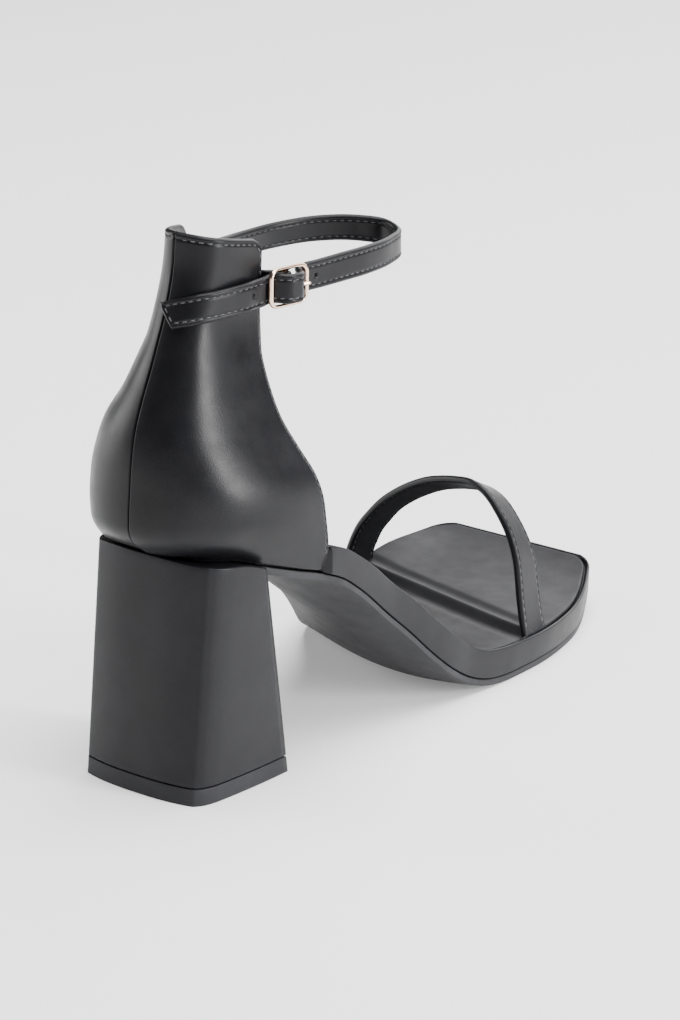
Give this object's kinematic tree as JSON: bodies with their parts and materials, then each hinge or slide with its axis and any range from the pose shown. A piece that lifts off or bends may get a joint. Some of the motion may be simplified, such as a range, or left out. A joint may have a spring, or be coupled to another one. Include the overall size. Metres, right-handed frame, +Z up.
{
  "type": "block heel sandal",
  "caption": "Women's sandal with a high block heel, hollow heel counter, wide toe strap and a looped ankle strap fastened by a small pin buckle.",
  "frame": {"origin": "middle of the floor area that the bounding box covers, on the floor", "axes": "+Z up, +Y from the heel to the toe, +X towards the outer (lateral) side of the foot"},
  "size_m": [0.0864, 0.2284, 0.1625],
  "materials": {
    "upper": "smooth black leather look with a fine grain and a soft sheen",
    "wrap": "smooth black cover glued round the board and the heel",
    "sock": "black padded sock with a soft matte sheen",
    "outsole_rubber": "dark grey matte rubber",
    "lift_rubber": "dark grey matte rubber",
    "buckle_metal": "polished light rose gold plating"
  },
  "bodies": {
    "root": {"counter": "upper", "toe_strap": "upper", "ankle_strap": "upper", "buckle_tab": "upper", "platform": "wrap", "heel_block": "wrap", "insole": "sock", "outsole": "outsole_rubber", "top_lift": "lift_rubber", "buckle_frame": "buckle_metal", "buckle_prong": "buckle_metal"}
  },
  "joints": []
}
